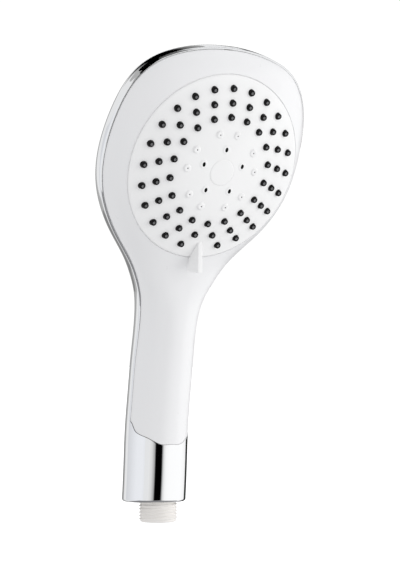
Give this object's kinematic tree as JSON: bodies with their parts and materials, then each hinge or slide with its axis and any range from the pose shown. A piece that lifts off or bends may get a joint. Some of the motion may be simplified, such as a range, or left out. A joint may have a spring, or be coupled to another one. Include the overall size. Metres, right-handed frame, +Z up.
{
  "type": "handheld shower head",
  "caption": "Handheld shower head: chrome rear shell, white front cover and turning spray disc with a selector tab and black nozzles, threaded hose inlet at the foot",
  "frame": {"origin": "centre of the hose thread's end face, on the thread axis", "axes": "+Z up along the thread and the lower handle, -Y the side the spray face looks to, X = 0 the plane of symmetry"},
  "size_m": [0.1222, 0.1019, 0.2547],
  "materials": {
    "chrome_plate": "bright mirror chrome plating",
    "white_cover": "moulded satin white",
    "white_face": "moulded satin white",
    "black_silicone": "soft matt black",
    "cream_plastic": "moulded cream grey",
    "grey_plastic": "moulded grey",
    "blue_plastic": "moulded blue",
    "steel": "plain stainless steel",
    "black_seal": "black rubber"
  },
  "bodies": {
    "handset": {"rear_shell": "chrome_plate", "front_cover": "white_cover", "diverter_body": "grey_plastic", "hub_o_ring": "black_seal", "diverter_seal": "black_seal", "seal_carrier": "grey_plastic", "seal_springs": "steel", "detent_leaf": "steel", "cover_screws": "steel", "centre_screw": "steel", "centre_washer": "steel", "waterway_tube": "grey_plastic", "tube_o_rings": "black_seal", "inlet_connector": "cream_plastic", "inlet_strainer": "steel", "flow_regulator": "blue_plastic"},
    "face": {"face_plate": "white_face", "nozzle_mat": "black_silicone", "chamber_plate": "grey_plastic", "chamber_o_ring": "black_seal", "chamber_screws": "steel", "mist_inserts": "blue_plastic", "turbine_guide": "grey_plastic", "centre_cap": "white_face"},
    "turbine": {"turbine": "blue_plastic"}
  },
  "joints": [
    {"name": "face_turn", "type": "hinge", "parent": "handset", "child": "face", "pos_m": [0, -0.05958, 0.19014], "axis": [0, -0.9178, -0.3971], "range_deg": [-40, 40], "deforming": ["detent_leaf"]},
    {"name": "turbine_spin", "type": "hinge", "parent": "face", "child": "turbine", "pos_m": [0, -0.05958, 0.19014], "axis": [0, -0.9178, -0.3971], "continuous": true}
  ]
}
